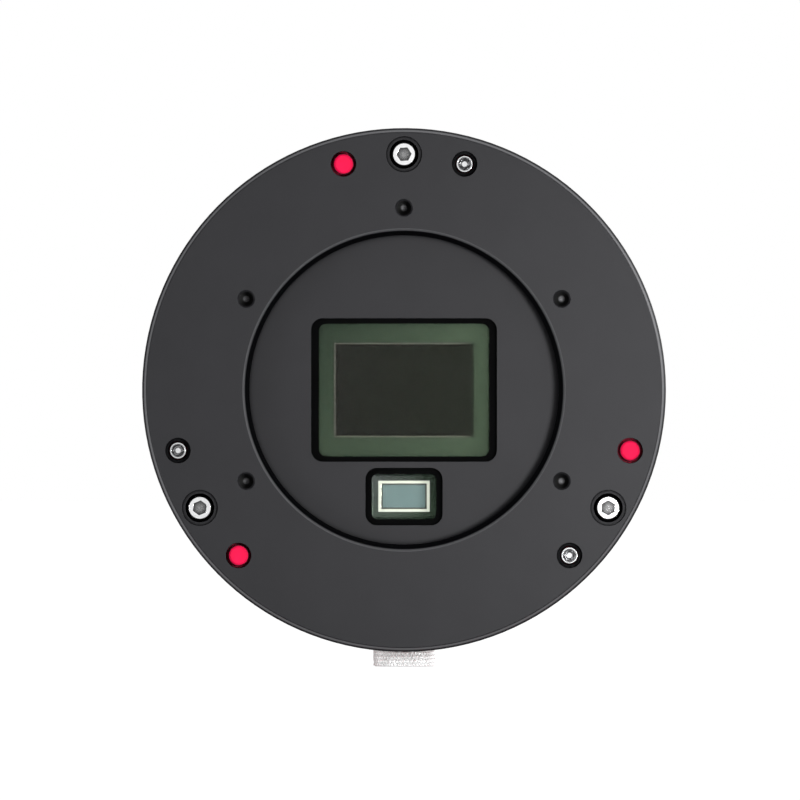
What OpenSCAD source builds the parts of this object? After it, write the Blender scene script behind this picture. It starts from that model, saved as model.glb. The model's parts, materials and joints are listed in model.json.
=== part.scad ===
// Cooled astronomy camera: tilt plate, dry sensor chamber, cooler, heat sink, fan and rear ports.
// The origin is the centre of the tilt plate's front face, on the optical axis.
// The front faces -Y, +Z is up, and lengths are millimetres. "Depth" is the distance behind the front face.

/* [Tilt plate] */
// Diameter of the front plate
plate_d = 90; // [89.5:0.5:96]
// Thickness of the front plate
plate_t = 5; // [4.9:0.1:5.6]
// Minor diameter of the M54 x 0.75 thread in the front plate
bore_d = 53.2; // [50:0.1:54]
// Pitch radius of the five tapped accessory holes
accessory_r = 31.3; // [31.2:0.1:32]
// Pitch radius of the pull screws
pull_r = 40.5; // [40:0.1:41]
// Pitch radius of the push screws and the red plugs
push_r = 40.2; // [40:0.1:40.6]
// Angle from a pull screw to the push screw or plug beside it
station_step = 15; // [14:0.5:18]
// Gap between the plate and the camera body
tilt_gap = 0.6; // [0.5:0.1:0.9]

/* [Camera body] */
// Diameter of the red body
body_d = 89; // [88.8:0.1:89.4]
// Length from the front face to the back of the rear cover
camera_l = 96; // [95.5:0.5:104]
// Number of vent slots around the upper half
vent_count = 33; // [9:2:37]

/* [Sensors] */
// Width of the main sensor's light-sensitive area
main_w = 23.5; // [22:0.1:24]
// Height of the main sensor's light-sensitive area
main_h = 15.7; // [14:0.1:16]
// Width of the guide sensor's light-sensitive area
guide_w = 7.7; // [6:0.1:7.8]
// Height of the guide sensor's light-sensitive area
guide_h = 4.3; // [3.6:0.1:4.35]
// Distance of the guide sensor below the optical axis
guide_drop = 18.35; // [18.3:0.05:18.5]

/* [Cooling] */
// Side of the square cooler module
cooler_w = 30; // [26:1:30]
// Number of heat sink fins
fin_count = 13; // [7:2:15]
// Side of the square fan
fan_w = 50; // [48:0.5:50]
// Number of fan blades
blade_count = 7; // [5:1:9]

/* [Desiccant holder] */
// Diameter of the knurled cap
cap_d = 10.66; // [9:0.1:12]
// Height of the knurled cap
cap_h = 4.45; // [4:0.05:6]

/* [Hidden] */
$fn = 64;

black_anodised = [0.16, 0.16, 0.17];
red_anodised = [0.72, 0.05, 0.12];
plug_red = [0.95, 0.12, 0.34];
steel = [0.78, 0.78, 0.79];
brass = [0.80, 0.66, 0.36];
copper = [0.78, 0.45, 0.30];
rubber = [0.07, 0.07, 0.07];
glass = [0.70, 0.85, 0.78];
package_green = [0.22, 0.30, 0.24];
board_green = [0.05, 0.25, 0.14];
ceramic = [0.92, 0.92, 0.90];
aluminium = [0.72, 0.73, 0.75];
plastic_black = [0.10, 0.10, 0.11];

// Three adjusting stations, and the five accessory holes between them
station_angles = [90, 210, 330];
accessory_angles = [30, 90, 150, 210, 330];
six_angles = [0:60:300];
six_offset_angles = [30:60:330];

plate_r = plate_d / 2;
bore_r = bore_d / 2;
mouth_r = bore_r + 1.1;
mouth_edge = 0.35;
lead_in_depth = 1.7;
rim_chamfer = 0.8;
pull_head_r = 2.05;
pull_head_h = 3;
pull_key = 2.25;
pull_turns = [4, 23, 30];
pull_seat_y = 3.3;
pull_bore_r = 2.5;
spot_face_r = 3.1;
spot_face_depth = 0.5;
m3_r = 1.5;
m3_clear_r = 1.75;
push_bore_r = 2.2;
push_key = 1.5;
plug_hole_r = 2.2;
m3_tap_r = 1.25;

seal_r = 28.9;
seal_w = 1.4;

// Depths of the parts of the dry chamber, front to back
body_y = plate_t + tilt_gap;
gasket_y = body_y + 1.5;
window_y = gasket_y + 1;
window_back_y = window_y + 2;
heater_back_y = window_back_y + 0.25;
cover_back_y = body_y + 5.9;
retainer_back_y = cover_back_y + 1.5;
recess_back_y = body_y + 3;
die_y = body_y + 11.9;
package_floor_y = die_y + 0.4;
package_rim_y = package_floor_y - 1;
glass_t = 0.7;
board_y = package_floor_y + 1.5;
board_t = 1.6;
board_back_y = board_y + board_t;
finger_y = board_y + 5.2;
cooler_y = finger_y + 3;
cooler_t = 4;
sink_y = cooler_y + cooler_t;
ledge_y = sink_y - 0.6;
sink_base_t = 5;
sink_back_y = sink_y + sink_base_t;
fin_back_y = sink_back_y + 36.4;

body_r = body_d / 2;
chamber_r = 32;
flange_r = 37;
cavity_r = 41.5;
spigot_r = 43.2;
split_y = 40;
spigot_l = 6;
rear_wall_r = 42;
rear_cover_t = 5;
rear_y = camera_l - rear_cover_t;
cover_screw_r = 34.5;
sink_screw_r = 37;
rear_screw_r = 40.5;
vent_step = 6;
boss_y = 79;
rail_y = 48;
housing_screw_y = split_y + 3;

// Openings of the chamber cover and the gasket behind it
main_opening = [32, 24.7];
guide_opening = [13.3, 9.9];
main_clear = [29.3, 22.9];
guide_clear = [11.1, 7.8];
main_window_size = [34.4, 25.2];
guide_window_size = [15.6, 10.6];
main_package = [33, 26.4];
guide_package = [13.4, 9.8];
package_wall = 1.3;
glass_inset = 0.8;
bond_frame = [8.9, 5.4];
pocket = [35.8, 38];
pocket_z = -5.4;
retainer_screw_places = [[-20.3, 13], [20.3, 13], [-20.3, -20], [20.3, -20]];
standoff_places = [[-25.5, 13], [25.5, 13], [-25.5, -13], [25.5, -13]];

// Flat cable and wires from the chamber to the main board
cable_w = 14;
cable_t = 0.25;
cable_z = -29.2;
wire_x = 8.3;
wire_r = 0.5;
slot_w = 19;
slot_h = 2.4;

// Desiccant holder, screwed in from below
desiccant_y = 17;
desiccant_bore_r = 4.2;
desiccant_plug_r = 3.9;
cap_seat_z = -43.2;
cap_top_z = cap_seat_z - 0.05;
plug_top_z = -38;
tube_top_z = -30.5;

// Fan, rear of the body, set above the ports
fan_z = 9;
fan_t = 15;
fan_y = rear_y - fan_t;
fan_hole = 20;
fan_corners = [for (x = [-1, 1], z = [-1, 1]) [x * fan_hole, z * fan_hole]];
blade_tip_r = 22.4;
hub_r = 11;
grille_r = 23.5;

// Main board and the ports along its rear edge
pcb_z = -22;
pcb_t = 1.6;
pcb_w = 59;
port_face_y = camera_l - 0.5;
jack_x = -20.5;
usb3_x = -6.5;
usb3_size = [12, 10.9];
hub_x = [9, 24];
hub_size = [13.1, 5.8];
shell_t = 0.45;

// ---- Helpers ----

// Extrudes a flat shape, drawn as seen from the front, between two depths
module slab(front, back)
    translate([0, back, 0]) rotate([90, 0, 0]) linear_extrude(back - front) children();

// A straight rod between two depths
module rod(r, front, back)
    translate([0, back, 0]) rotate([90, 0, 0]) cylinder(r = r, h = back - front);

// Turns an outline of [radius, depth] points about the optical axis
module turned(outline)
    rotate([90, 0, 0]) rotate_extrude() polygon([for (p = outline) [p[0], -p[1]]]);

// A flat ring between two radii and two depths
module ring(r_in, r_out, front, back)
    turned([[r_in, front], [r_out, front], [r_out, back], [r_in, back]]);

// Cuts or builds along a radius, from a flat shape drawn with depth across and height up
module radial(r_in, r_out)
    translate([r_in, 0, 0]) rotate([90, 0, 90]) linear_extrude(r_out - r_in) children();

// Moves children to a radius and an angle, seen from the front
module polar(radius, angle)
    translate([radius * cos(angle), 0, radius * sin(angle)]) children();

// Turns children about the optical axis
module around(angle) rotate([0, -angle, 0]) children();

// Places children at each [x, z] point
module places(points)
    for (p = points) translate([p[0], 0, p[1]]) children();

module rounded_rect(size, r) {
    square([size[0], size[1] - 2 * r], center = true);
    square([size[0] - 2 * r, size[1]], center = true);
    for (x = [-1, 1], y = [-1, 1])
        translate([x * (size[0] / 2 - r), y * (size[1] / 2 - r)]) circle(r);
}

// A [width, height] made larger by a margin on every side
function grown(size, margin) = [size[0] + 2 * margin, size[1] + 2 * margin];

module guide_place() translate([0, -guide_drop]) children();

// A socket screw: the head's seat is at the origin, the head is towards -Z and the shank towards +Z
module screw(head_r, head_h, shank_r, shank_l, key, socket_depth) {
    edge = 0.2;
    difference() {
        rotate_extrude() polygon([
            [0, -head_h], [head_r - edge, -head_h], [head_r, -head_h + edge], [head_r, 0],
            [shank_r, 0], [shank_r, shank_l - edge], [shank_r - edge, shank_l], [0, shank_l]
        ]);
        translate([0, 0, -head_h - 1]) cylinder(r = key / sqrt(3), h = socket_depth + 1, $fn = 6);
    }
}

// Screws that point to the back, and screws that point to the front
module to_back(seat_y) translate([0, seat_y, 0]) rotate([-90, 0, 0]) children();
module to_front(seat_y) translate([0, seat_y, 0]) rotate([90, 0, 0]) children();

// A wire of straight runs with round corners
module wire(points, r) {
    for (i = [0:len(points) - 2]) {
        run = points[i + 1] - points[i];
        translate(points[i])
            rotate([0, acos(run[2] / norm(run)), atan2(run[1], run[0])])
                cylinder(r = r, h = norm(run), $fn = 24);
    }
    for (i = [1:len(points) - 2]) translate(points[i]) sphere(r * 1.03, $fn = 24);
}

// ---- Tilt plate ----

module accessory_hole() {
    sink_r = 1.55;
    depth = 3.5;
    turned([[0, -1], [sink_r, -1], [sink_r, 0], [m3_tap_r, sink_r - m3_tap_r], [m3_tap_r, depth],
            [0, depth + 0.75]]);
}

module pull_hole() {
    rod(spot_face_r, -1, spot_face_depth);
    rod(pull_bore_r, -1, pull_seat_y);
    rod(m3_clear_r, -1, plate_t + 1);
}

module push_hole() {
    rod(push_bore_r, -1, 1.6);
    rod(m3_r + 0.12, -1, plate_t + 1);
}

module tilt_plate() color(black_anodised) difference() {
    back_edge = 0.4;
    turned([
        [bore_r, lead_in_depth], [mouth_r - mouth_edge, mouth_edge], [mouth_r, 0],
        [plate_r - rim_chamfer, 0], [plate_r, rim_chamfer],
        [plate_r, plate_t - back_edge], [plate_r - back_edge, plate_t],
        [seal_r + seal_w / 2 + 0.2, plate_t], [seal_r + seal_w / 2 + 0.2, plate_t - 1],
        [seal_r - seal_w / 2 - 0.2, plate_t - 1], [seal_r - seal_w / 2 - 0.2, plate_t], [bore_r, plate_t]
    ]);
    for (a = station_angles) {
        polar(pull_r, a) pull_hole();
        polar(push_r, a - station_step) push_hole();
        polar(push_r, a + station_step) rod(plug_hole_r, -1, plate_t + 1);
    }
    for (a = accessory_angles) polar(accessory_r, a) accessory_hole();
}

// Soft plugs with a wide foot, pushed in from behind the plate
module red_plugs() color(plug_red) for (a = station_angles) polar(push_r, a + station_step) {
    stem_r = 1.76;
    foot_r = plug_hole_r - 0.04;
    foot_y = 2.6;
    top_y = 0.8;
    turned([[0, top_y], [stem_r - 0.4, top_y], [stem_r - 0.12, top_y + 0.12], [stem_r, top_y + 0.4],
            [stem_r, foot_y], [foot_r, foot_y], [foot_r, plate_t - 0.1], [0, plate_t - 0.1]]);
}

module light_seal_ring() color(rubber)
    ring(seal_r - seal_w / 2, seal_r + seal_w / 2, plate_t - 0.75, plate_t + 0.25);

module pull_screw(station) color(steel) polar(pull_r, station_angles[station]) around(pull_turns[station])
    to_back(pull_seat_y) screw(pull_head_r, pull_head_h, m3_r, body_y + 8.4 - pull_seat_y, pull_key, 1.4);

module pull_screw_top() pull_screw(0);
module pull_screw_left() pull_screw(1);
module pull_screw_right() pull_screw(2);

// Set screws that thread through the plate and press on the body.
// The socket has a bevelled mouth and a drilled floor.
module push_screw(angle) color(steel) polar(push_r, angle - station_step) {
    front = 1;
    back = body_y - 0.05;
    mouth_r = 1.2;
    drill_r = 0.68;
    floor_y = front + 1.3;
    difference() {
        turned([[0, front], [m3_r - 0.15, front], [m3_r, front + 0.15], [m3_r, back - 0.6],
                [m3_r - 0.6, back], [0, back]]);
        turned([[0, front - 1], [mouth_r, front - 1], [mouth_r, front], [drill_r, front + mouth_r - drill_r],
                [0, front + mouth_r - drill_r]]);
        rod(push_key / sqrt(3), front, floor_y, $fn = 6);
        turned([[0, floor_y - 0.1], [drill_r, floor_y - 0.1], [drill_r, floor_y], [0.42, floor_y + 0.26],
                [0, floor_y + 0.26]]);
    }
}

module push_screw_top() push_screw(station_angles[0]);
module push_screw_left() push_screw(station_angles[1]);
module push_screw_right() push_screw(station_angles[2]);

// ---- Dry chamber ----

module desiccant_bore() translate([0, desiccant_y, -body_r - 1]) {
    cylinder(r = desiccant_bore_r, h = body_r - 29);
    cylinder(r = cap_d / 2 + 1.25, h = cap_seat_z + body_r + 1);
    cylinder(r = 5.2, h = cap_seat_z + body_r + 1 + 1.3);
}

module front_housing() color(red_anodised) difference() {
    edge = 0.6;
    turned([
        [chamber_r, recess_back_y], [flange_r + 0.1, recess_back_y], [flange_r + 0.1, body_y],
        [body_r - edge, body_y], [body_r, body_y + edge], [body_r, split_y], [spigot_r, split_y],
        [spigot_r, split_y + spigot_l], [cavity_r, split_y + spigot_l], [cavity_r, ledge_y],
        [chamber_r, ledge_y]
    ]);
    for (a = station_angles) polar(pull_r, a) rod(m3_clear_r, body_y - 1, body_y + 9);
    for (a = six_angles) {
        polar(cover_screw_r, a) rod(1.25, body_y, body_y + 8.6);
        around(a) translate([0, housing_screw_y, 0]) radial(cavity_r - 1, body_r) circle(1);
    }
    for (a = six_offset_angles) polar(sink_screw_r, a) rod(m3_r, ledge_y - 4, ledge_y + 1);
    desiccant_bore();
}

module chamber_cover() color(black_anodised) difference() {
    edge = 0.3;
    groove = [body_y + 3.6, body_y + 5.4];
    rim_r = chamber_r - 0.1;
    turned([
        [0, body_y], [flange_r - edge, body_y], [flange_r, body_y + edge], [flange_r, recess_back_y],
        [rim_r, recess_back_y], [rim_r, groove[0]], [rim_r - 1.45, groove[0]], [rim_r - 1.45, groove[1]],
        [rim_r, groove[1]], [rim_r, cover_back_y], [0, cover_back_y]
    ]);
    slab(body_y - 1, cover_back_y + 1) rounded_rect(main_opening, 2);
    slab(body_y - 1, cover_back_y + 1) guide_place() rounded_rect(guide_opening, 2);
    slab(gasket_y, cover_back_y + 1) translate([0, pocket_z]) rounded_rect(pocket, 2);
    for (a = six_angles) polar(cover_screw_r, a) {
        rod(2.35, body_y - 1, body_y + 1.6);
        rod(1.35, body_y, recess_back_y + 1);
    }
    places(retainer_screw_places) rod(1, body_y + 3, cover_back_y + 1);
}

module chamber_cover_screws() color(steel) for (a = six_angles) polar(cover_screw_r, a)
    to_back(body_y + 1.6) screw(2.2, 1.4, 1.2, 6.6, 1.5, 0.9);

module chamber_oring() color(rubber)
    translate([0, body_y + 4.5, 0]) rotate([90, 0, 0]) rotate_extrude()
        translate([chamber_r - 0.8, 0]) circle(0.72);

module window_gasket() color(rubber) slab(gasket_y, window_y) difference() {
    translate([0, pocket_z]) rounded_rect(grown(pocket, -0.1), 2);
    rounded_rect(main_clear, 1.3);
    guide_place() rounded_rect(guide_clear, 1);
}

module main_window() color(glass) slab(window_y, window_back_y) rounded_rect(main_window_size, 1.5);

module guide_window() color(glass) slab(window_y, window_back_y) guide_place()
    rounded_rect(guide_window_size, 1.5);

module window_heater() color(copper) slab(window_back_y, heater_back_y) difference() {
    rounded_rect(grown(main_window_size, -0.15), 1.4);
    rounded_rect(grown(main_clear, 0.4), 1.2);
}

module window_retainer() color(plastic_black) difference() {
    union() {
        slab(cover_back_y, retainer_back_y) intersection() {
            translate([0, -5]) rounded_rect([44.6, 43], 3);
            circle(chamber_r - 1.6);
        }
        slab(heater_back_y, cover_back_y + 0.1) rounded_rect(grown(main_window_size, -0.1), 1.5);
        slab(window_back_y, cover_back_y + 0.1) guide_place()
            rounded_rect(grown(guide_window_size, -0.1), 1.5);
    }
    slab(window_y, retainer_back_y + 1) rounded_rect(grown(main_clear, 0.4), 1.4);
    slab(window_y, retainer_back_y + 1) guide_place() rounded_rect(grown(guide_clear, 0.3), 1.2);
    places(retainer_screw_places) rod(1.1, cover_back_y - 1, retainer_back_y + 1);
}

module retainer_screws() color(steel) places(retainer_screw_places)
    to_front(retainer_back_y) screw(1.8, 1.2, 0.95, retainer_back_y - body_y - 3.2, 1.3, 0.7);

// ---- Sensors ----

// A ceramic tray that holds the sensor die, open at the front
module sensor_package(size) difference() {
    slab(package_rim_y, board_y) rounded_rect(size, 0.6);
    slab(package_rim_y - 1, package_floor_y) rounded_rect(grown(size, -package_wall), 0.5);
}

module package_glass(size) slab(package_rim_y - glass_t, package_rim_y)
    rounded_rect(grown(size, -glass_inset / 2), 0.5);

module main_sensor_package() color(package_green) sensor_package(main_package);

module main_sensor_die() color([0.19, 0.19, 0.18])
    slab(die_y, package_floor_y) square([main_w + 0.8, main_h + 0.8], center = true);

module main_sensor_glass() color(glass) package_glass(main_package);

module guide_sensor_package() color(package_green)
    translate([0, 0, -guide_drop]) sensor_package(guide_package);

module guide_bond_frame() color(ceramic) slab(die_y - 0.05, package_floor_y) guide_place() difference() {
    square(bond_frame, center = true);
    square([guide_w + 0.14, guide_h + 0.1], center = true);
}

module guide_sensor_die() color([0.50, 0.60, 0.60])
    slab(die_y, package_floor_y) guide_place() square([guide_w, guide_h], center = true);

module guide_sensor_glass() color(glass) translate([0, 0, -guide_drop]) package_glass(guide_package);

module sensor_board() color(board_green) slab(board_y, board_back_y) difference() {
    intersection() {
        circle(chamber_r - 1);
        translate([-50, -27]) square([100, 100]);
    }
    square([18, 12], center = true);
    for (p = standoff_places) translate(p) circle(1.3);
}

module sensor_standoffs() color(brass) places(standoff_places) difference() {
    rod(4 / sqrt(3), cover_back_y, board_y, $fn = 6);
    rod(1.05, cover_back_y + 1.5, board_y + 1);
}

module sensor_board_screws() color(steel) places(standoff_places)
    to_front(board_back_y) screw(1.9, 1.3, 1, 7, 1.3, 0.8);

// Flat cable: down behind the sensor board, back through the heat sink, and up to the main board
module sensor_cable() color([0.75, 0.45, 0.12]) {
    plug_h = 2.5;
    front_y = board_back_y + 1.4;
    end_y = split_y + 1.3;
    translate([-cable_w / 2, board_back_y, cable_z + 3.2]) cube([cable_w, 1.4, plug_h]);
    translate([-cable_w / 2, front_y, cable_z]) cube([cable_w, cable_t, 3.2 + plug_h]);
    translate([-cable_w / 2, front_y, cable_z]) cube([cable_w, end_y - front_y, cable_t]);
    translate([-cable_w / 2, end_y - cable_t, cable_z]) cube([cable_w, cable_t, pcb_z - cable_z - 0.1]);
    translate([-cable_w / 2, end_y - 0.01, pcb_z - 2]) cube([cable_w, 3, 2]);
}

// ---- Cooler and heat sink ----

module cold_finger() color(copper) {
    slab(board_y, finger_y) square([17, 11], center = true);
    slab(finger_y, cooler_y) square(cooler_w, center = true);
}

module insulation_ring() color([0.20, 0.20, 0.21]) difference() {
    rod(chamber_r - 1, board_back_y + 1.8, ledge_y);
    slab(board_y, sink_y) square(cooler_w + 0.6, center = true);
    slab(board_y, sink_y) translate([-slot_w / 2, -chamber_r]) square([slot_w, chamber_r - 27.5]);
    for (x = [-wire_x, wire_x])
        slab(ledge_y - 2, sink_y) translate([x - 0.8, -29]) square([1.6, 16]);
}

module peltier_plates() color(ceramic) {
    plate = 0.8;
    slab(cooler_y, cooler_y + plate) square(cooler_w, center = true);
    slab(sink_y - plate, sink_y) square(cooler_w, center = true);
}

module peltier_pellets() color([0.30, 0.30, 0.33]) {
    count = 6;
    pitch = 4.6;
    for (i = [0:count - 1], j = [0:count - 1])
        translate([(i - (count - 1) / 2) * pitch, 0, (j - (count - 1) / 2) * pitch])
            slab(cooler_y + 0.8, sink_y - 0.8) square(2, center = true);
}

module power_wires() color([0.65, 0.08, 0.08]) {
    low = -cooler_w / 2 - 0.6;
    level = ledge_y - 1.4;
    for (side = [-1, 1]) wire([
        [side * wire_x, level, low], [side * wire_x, level, cable_z], [side * wire_x, split_y, cable_z],
        [side * 10.5, split_y + 6, pcb_z - 2.2], [side * 10.5, split_y + 6, pcb_z]
    ], wire_r);
    for (x = [12, 13.5]) wire([
        [x, fan_y, -13], [x, fan_y - 1.4, -13], [x, fan_y - 1.4, pcb_z + pcb_t]
    ], wire_r);
}

module cable_seal() color(rubber) difference() {
    slab(sink_y + 0.4, sink_back_y - 0.6) translate([0, cable_z])
        square(grown([slot_w, slot_h], -0.1), center = true);
    translate([-cable_w / 2 - 0.1, sink_y, cable_z - 0.1]) cube([cable_w + 0.2, sink_base_t, cable_t + 0.2]);
    for (x = [-wire_x, wire_x]) translate([x, 0, cable_z]) rod(wire_r + 0.05, sink_y, sink_back_y);
}

module heat_sink_gasket() color(rubber) ring(chamber_r + 0.5, chamber_r + 3.2, ledge_y, sink_y);

module heat_sink() color(aluminium) {
    fin_t = 1.3;
    span = fan_w - 2;
    difference() {
        rod(cavity_r - 0.3, sink_y, sink_back_y);
        slab(sink_y - 1, sink_back_y + 1) translate([0, cable_z]) square([slot_w, slot_h], center = true);
        for (a = six_offset_angles) polar(sink_screw_r, a) rod(m3_clear_r, sink_y - 1, sink_back_y + 1);
    }
    slab(sink_back_y - 0.1, fin_back_y) intersection() {
        circle(cavity_r - 0.7);
        for (i = [0:fin_count - 1])
            translate([(i / (fin_count - 1) - 0.5) * span, fan_z]) square([fin_t, fan_w], center = true);
    }
}

module heat_sink_screws() color(steel) for (a = six_offset_angles) polar(sink_screw_r, a)
    to_front(sink_back_y) screw(2.6, 2.8, m3_r - 0.05, sink_back_y - ledge_y + 3.8, 2.5, 1.4);

// ---- Desiccant holder ----

module desiccant_cap() color(steel) translate([0, desiccant_y, 0]) difference() {
    edge = 0.35;
    r = cap_d / 2;
    bottom = cap_top_z - cap_h;
    rotate_extrude() polygon([
        [0, bottom], [r - edge, bottom], [r, bottom + edge], [r, cap_top_z - edge], [r - edge, cap_top_z],
        [desiccant_plug_r, cap_top_z], [desiccant_plug_r, plug_top_z], [0, plug_top_z]
    ]);
    translate([-cap_d, -0.6, bottom - 1]) cube([2 * cap_d, 1.2, 2]);
}

module desiccant_oring() color(rubber) translate([0, desiccant_y, cap_seat_z + 0.65]) rotate_extrude()
    translate([4.55, 0]) circle(0.58);

module desiccant_tube() color(aluminium) translate([0, desiccant_y, 0]) difference() {
    wall = 0.6;
    translate([0, 0, plug_top_z]) cylinder(r = desiccant_plug_r, h = tube_top_z - plug_top_z);
    translate([0, 0, plug_top_z - 1])
        cylinder(r = desiccant_plug_r - wall, h = tube_top_z - plug_top_z + 1 - wall);
    for (a = [0:60:300]) rotate([0, 0, a]) translate([2.2, -0.4, tube_top_z - 2.5]) cube([3, 0.8, 4]);
}

module desiccant_tablets() color([0.90, 0.55, 0.20]) for (i = [0:2])
    translate([0, desiccant_y, plug_top_z + 0.1 + i * 2.15]) cylinder(r = 3.1, h = 2.1);

// ---- Rear body ----

module vent_slot() {
    length = 22;
    width = 2.4;
    radial(rear_wall_r - 1.5, body_r + 1) translate([64, 0]) rounded_rect([length, width], width / 2 - 0.01);
}

// Two grooved rails that hold the edges of the main board
module board_rails() difference() {
    intersection() {
        rod(rear_wall_r + 1, rail_y, boss_y);
        for (side = [-1, 1]) translate([side * 34.3, 0, pcb_z + pcb_t / 2]) slab(rail_y, boss_y)
            square([12, 5.8], center = true);
    }
    translate([-pcb_w / 2 - 0.3, split_y, pcb_z - 0.05]) cube([pcb_w + 0.6, rear_y - split_y, pcb_t + 0.1]);
}

module rear_housing() color(red_anodised) difference() {
    edge = 0.4;
    socket_r = spigot_r + 0.05;
    union() {
        turned([
            [socket_r, split_y], [body_r - edge, split_y], [body_r, split_y + edge], [body_r, rear_y],
            [rear_wall_r, rear_y], [rear_wall_r, split_y + spigot_l + 0.2], [socket_r, split_y + spigot_l + 0.2]
        ]);
        for (a = six_offset_angles) polar(rear_screw_r, a) rod(3.2, boss_y, rear_y);
        board_rails();
    }
    for (a = six_offset_angles) polar(rear_screw_r, a) rod(1.25, boss_y + 2, rear_y + 1);
    for (i = [0:vent_count - 1]) around(90 + (i - (vent_count - 1) / 2) * vent_step) vent_slot();
    for (a = six_angles) around(a) translate([0, housing_screw_y, 0]) {
        radial(cavity_r, body_r + 1) circle(1.05);
        radial(body_r - 0.7, body_r + 1) circle(1.9);
    }
}

module housing_screws() color(steel) for (a = six_angles) around(a)
    translate([body_r - 0.7, housing_screw_y, 0]) rotate([0, -90, 0]) screw(1.8, 0.6, 0.95, 2.1, 1.2, 0.45);

// ---- Fan ----

module fan_frame() color(plastic_black) translate([0, 0, fan_z]) {
    strut_y = rear_y - 2.4;
    difference() {
        slab(fan_y, rear_y) rounded_rect([fan_w, fan_w], 4);
        rod(blade_tip_r + 1, fan_y - 1, rear_y + 1);
        places(fan_corners) rod(2.15, fan_y - 1, rear_y + 1);
    }
    rod(hub_r, strut_y, rear_y - 0.4);
    for (a = [45:120:285]) around(a) slab(strut_y, rear_y - 0.4) translate([hub_r - 1, -1.2]) square([14, 2.4]);
    difference() {
        rod(4.1, fan_y + 3, strut_y + 0.1);
        rod(3.1, fan_y + 2, strut_y);
    }
}

module fan_blade() {
    chord = 10;
    pitch_angle = 40;
    translate([hub_r + 5.6, fan_y + 6, 0]) rotate([pitch_angle, 0, 0]) cube([12.4, chord, 1], center = true);
}

module fan_rotor() color(plastic_black) translate([0, 0, fan_z]) {
    front = fan_y + 0.8;
    difference() {
        turned([[0, front], [hub_r - 0.8, front], [hub_r, front + 0.8], [hub_r, front + 10.6], [0, front + 10.6]]);
        rod(hub_r - 1, front + 1.2, front + 12);
    }
    intersection() {
        for (i = [0:blade_count - 1]) around(90 + i * 360 / blade_count) fan_blade();
        difference() {
            rod(blade_tip_r, fan_y, rear_y);
            rod(hub_r - 0.5, fan_y - 1, rear_y + 1);
        }
    }
}

module fan_magnet() color([0.28, 0.27, 0.27]) translate([0, 0, fan_z])
    ring(hub_r - 1.9, hub_r - 1, fan_y + 3, fan_y + 11);

module fan_shaft() color(steel) translate([0, 0, fan_z]) rod(1, fan_y + 2, fan_y + 12.3);

module fan_bearings() color(steel) translate([0, 0, fan_z]) for (y = [fan_y + 3.3, fan_y + 9.8])
    ring(1.04, 3.08, y, y + 2);

// Four wound poles around the bearing tube
module fan_stator() color(copper) translate([0, 0, fan_z]) slab(fan_y + 4.5, fan_y + 10) difference() {
    union() {
        circle(5.2);
        for (a = [0:90:270]) rotate(a) {
            translate([0, -1.6]) square([7.4, 3.2]);
            intersection() {
                circle(8.5);
                translate([7.2, -4.2]) square([3, 8.4]);
            }
        }
    }
    circle(4.14);
}

module fan_screws() color(steel) translate([0, 0, fan_z]) places(fan_corners)
    to_front(camera_l - 1.9) screw(2.7, 1.7, m3_r, 15, 2, 1);

// ---- Electronics and ports ----

module main_board() color(board_green)
    translate([-pcb_w / 2, split_y - 2, pcb_z]) cube([pcb_w, rear_y - split_y, pcb_t]);

// Chips as [x, depth, width, length, height], and two capacitors
module board_chips() color(plastic_black) {
    top = pcb_z + pcb_t;
    chips = [
        [0, 55, 14, 14, 1.4], [-18, 50, 10, 8, 1.2], [-17, 64, 9, 12, 1.2], [17, 58, 9, 9, 1.5], [-2, 70, 7, 5, 1]
    ];
    for (c = chips) translate([c[0] - c[2] / 2, c[1] - c[3] / 2, top]) cube([c[2], c[3], c[4]]);
    for (y = [48, 68]) translate([24, y, top]) cylinder(r = 2.4, h = 3.6);
}

module dc_jack() color(plastic_black) translate([jack_x, 0, 0]) {
    axis_z = pcb_z - 5.6;
    difference() {
        union() {
            translate([-4.5, rear_y - 12, pcb_z - 10.9]) cube([9, 11.9, 10.9]);
            translate([0, 0, axis_z]) rod(4.3, rear_y - 1, port_face_y);
        }
        translate([0, 0, axis_z]) rod(3.1, rear_y - 8, camera_l + 1);
    }
    translate([0, 0, axis_z]) rod(1.05, rear_y - 8.1, port_face_y - 1);
}

// An open-ended metal shell hanging under the board, size is [width, height]
module port_shell(x, size, length, r) translate([x, 0, pcb_z - size[1] / 2]) difference() {
    slab(port_face_y - length, port_face_y) rounded_rect(size, r);
    slab(port_face_y - length + 1, camera_l + 1)
        rounded_rect([size[0] - 2 * shell_t, size[1] - 2 * shell_t], r / 2);
}

module usb3_port() color(steel) port_shell(usb3_x, usb3_size, 18, 0.8);

module hub_ports() color(steel) for (x = hub_x) port_shell(x, hub_size, 15, 0.5);

module port_inserts() color([0.10, 0.20, 0.55]) {
    for (x = hub_x) translate([x, 0, pcb_z - hub_size[1] / 2 + 1.1])
        slab(port_face_y - 14, port_face_y - 1) square([10.8, 1.9], center = true);
    translate([usb3_x, 0, pcb_z - usb3_size[1] / 2]) {
        slab(port_face_y - 17, port_face_y - 1) translate([0, -1.7]) square([5.6, 3], center = true);
        slab(port_face_y - 17, port_face_y - 1) translate([0, 3]) square([7.4, 2], center = true);
    }
}

// ---- Rear cover ----

module grille() {
    bar = 1.4;
    for (r = [7:5.4:grille_r]) difference() {
        circle(r + bar / 2);
        circle(r - bar / 2);
    }
    for (a = [0:60:120]) rotate(a) square([2 * grille_r + 1, bar + 0.4], center = true);
    circle(3.2);
}

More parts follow.
